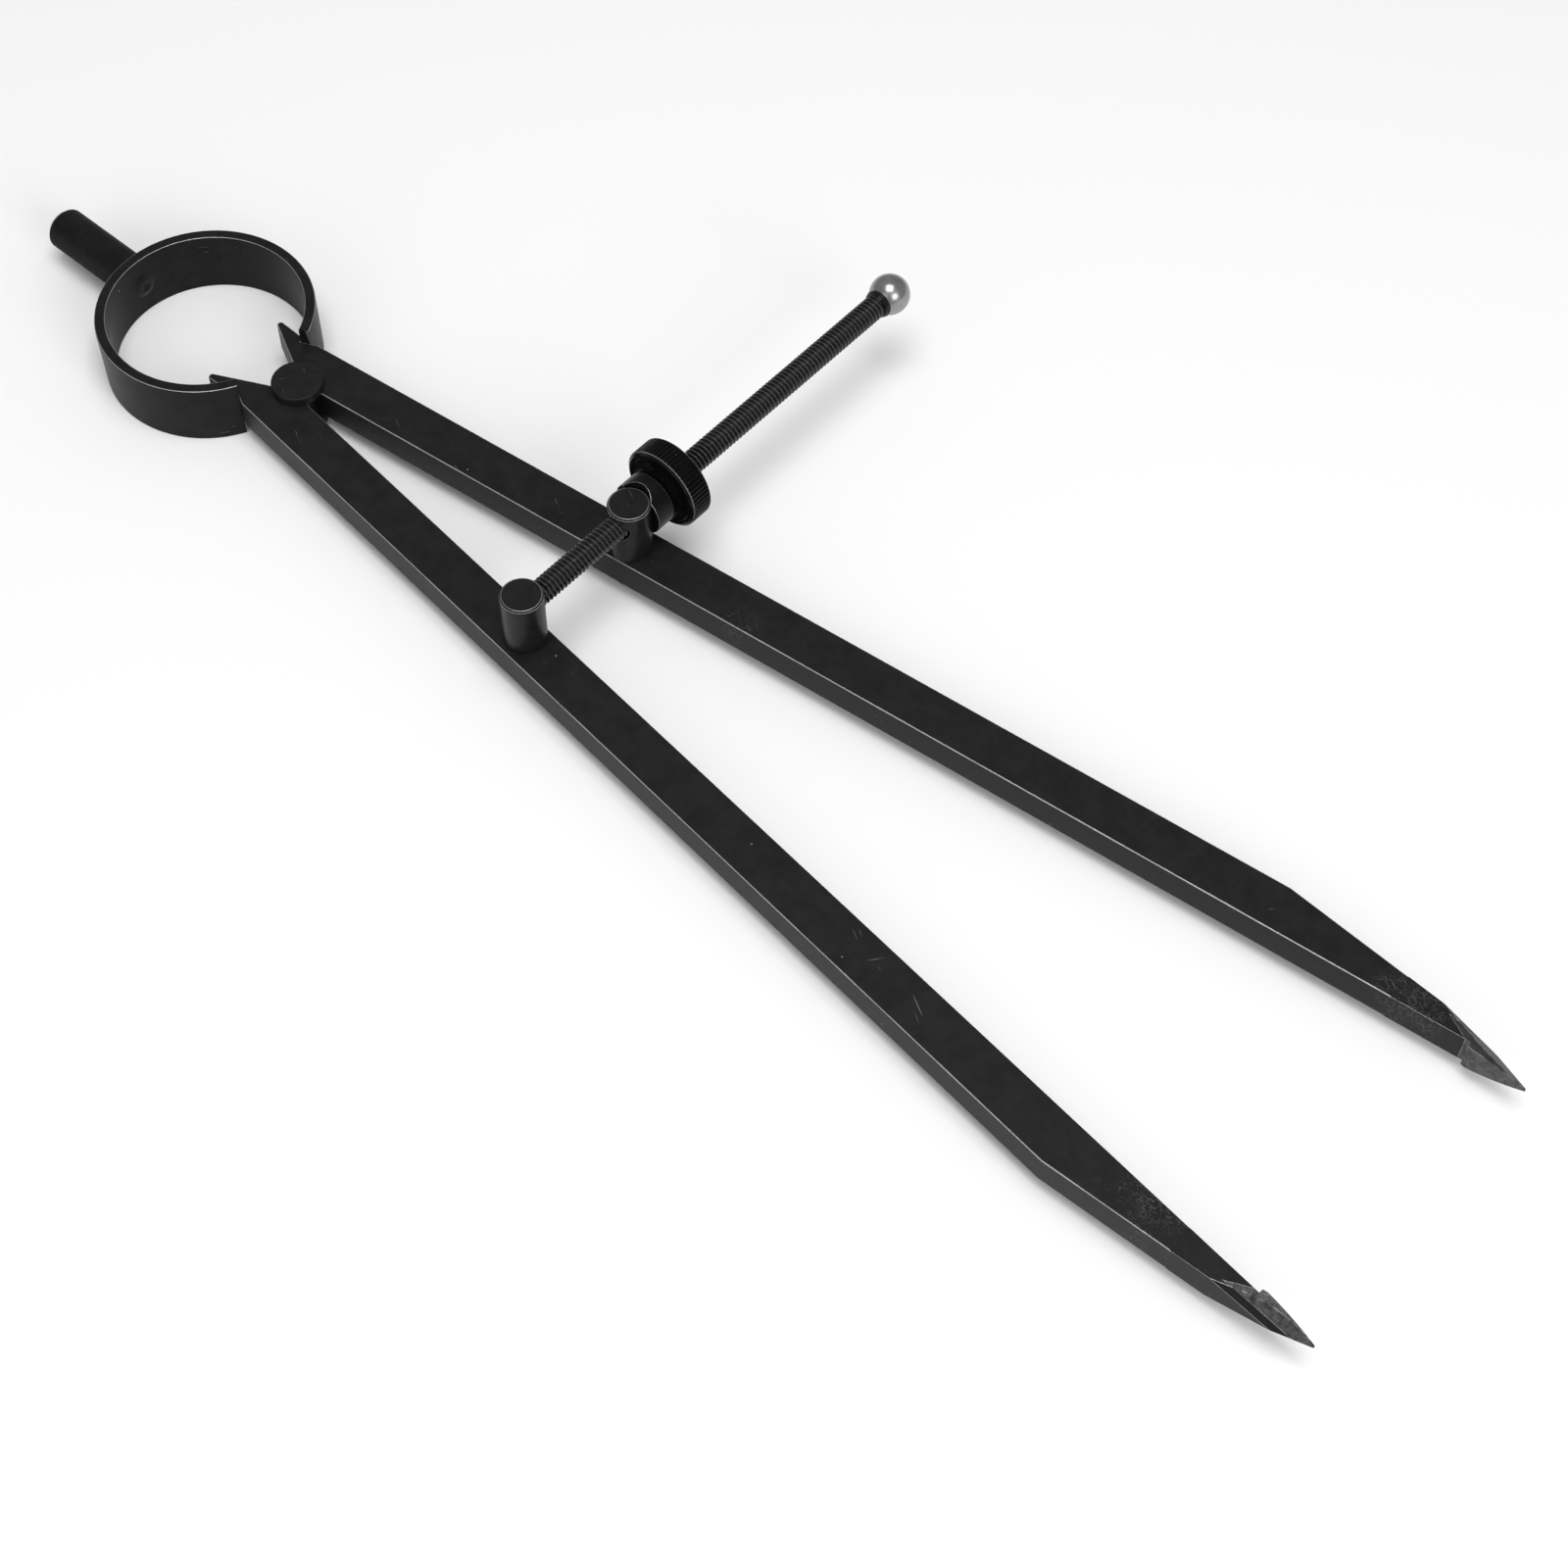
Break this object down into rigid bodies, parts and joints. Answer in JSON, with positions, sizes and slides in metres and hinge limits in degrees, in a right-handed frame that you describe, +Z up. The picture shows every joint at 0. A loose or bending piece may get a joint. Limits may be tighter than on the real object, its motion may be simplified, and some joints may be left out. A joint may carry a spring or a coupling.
{
  "type": "drawing compass",
  "caption": "Spring-bow drawing compass with two long steel legs, brazed points, and a threaded adjusting screw with a knurled nut.",
  "frame": {"origin": "the pivot axis, on the outer face of the lower pivot disc", "axes": "+Y from the pivot to the handle, +X along the adjusting screw towards its ball, +Z up out of the plane of the legs"},
  "size_m": [0.1444, 0.3775, 0.0311],
  "materials": {
    "blackened_steel": "satin black oxide, worn bright along the edges",
    "screw_steel": "glossier black oxide",
    "ground_point_steel": "coarsely ground bare steel",
    "satin_nickel": "satin nickel"
  },
  "bodies": {
    "bow_frame": {"spring_bow": "blackened_steel", "handle": "blackened_steel", "pivot_roller": "blackened_steel", "upper_pivot_disc": "blackened_steel", "lower_pivot_disc": "blackened_steel"},
    "left_leg_body": {"left_leg": "blackened_steel", "left_point": "ground_point_steel"},
    "right_leg_body": {"right_leg": "blackened_steel", "right_point": "ground_point_steel"},
    "screw_post_body": {"left_post": "blackened_steel", "left_post_washer": "blackened_steel", "adjusting_screw": "screw_steel", "ball_end": "satin_nickel"},
    "nut_post_body": {"right_post": "blackened_steel", "right_post_washer": "blackened_steel", "saddle_washer": "blackened_steel"},
    "nut_body": {"adjusting_nut": "screw_steel"}
  },
  "joints": [
    {"name": "left_leg_hinge", "type": "hinge", "parent": "bow_frame", "child": "left_leg_body", "pos_m": [0, 0, 0.00595], "axis": [0, 0, -1], "range_deg": [-6.5, 22], "deforming": ["spring_bow"]},
    {"name": "right_leg_hinge", "type": "hinge", "parent": "bow_frame", "child": "right_leg_body", "pos_m": [0, 0, 0.00595], "axis": [0, 0, 1], "range_deg": [-6.5, 22]},
    {"name": "screw_post_swivel", "type": "hinge", "parent": "left_leg_body", "child": "screw_post_body", "pos_m": [-0.01595, -0.08524, 0.00965], "axis": [0, 0, 1], "range_deg": [-6.5, 22]},
    {"name": "nut_post_swivel", "type": "hinge", "parent": "right_leg_body", "child": "nut_post_body", "pos_m": [0.01595, -0.08524, 0.00965], "axis": [0, 0, -1], "range_deg": [-6.5, 22]},
    {"name": "nut_spin", "type": "hinge", "parent": "nut_post_body", "child": "nut_body", "pos_m": [0.0263, -0.08524, 0.01975], "axis": [1, 0, 0], "continuous": true}
  ],
  "couplings": [
    {"joint": "right_leg_hinge", "follows": "left_leg_hinge", "ratio": 1},
    {"joint": "screw_post_swivel", "follows": "left_leg_hinge", "ratio": 1},
    {"joint": "nut_post_swivel", "follows": "left_leg_hinge", "ratio": 1},
    {"joint": "nut_spin", "follows": "left_leg_hinge", "ratio": 967.61}
  ]
}
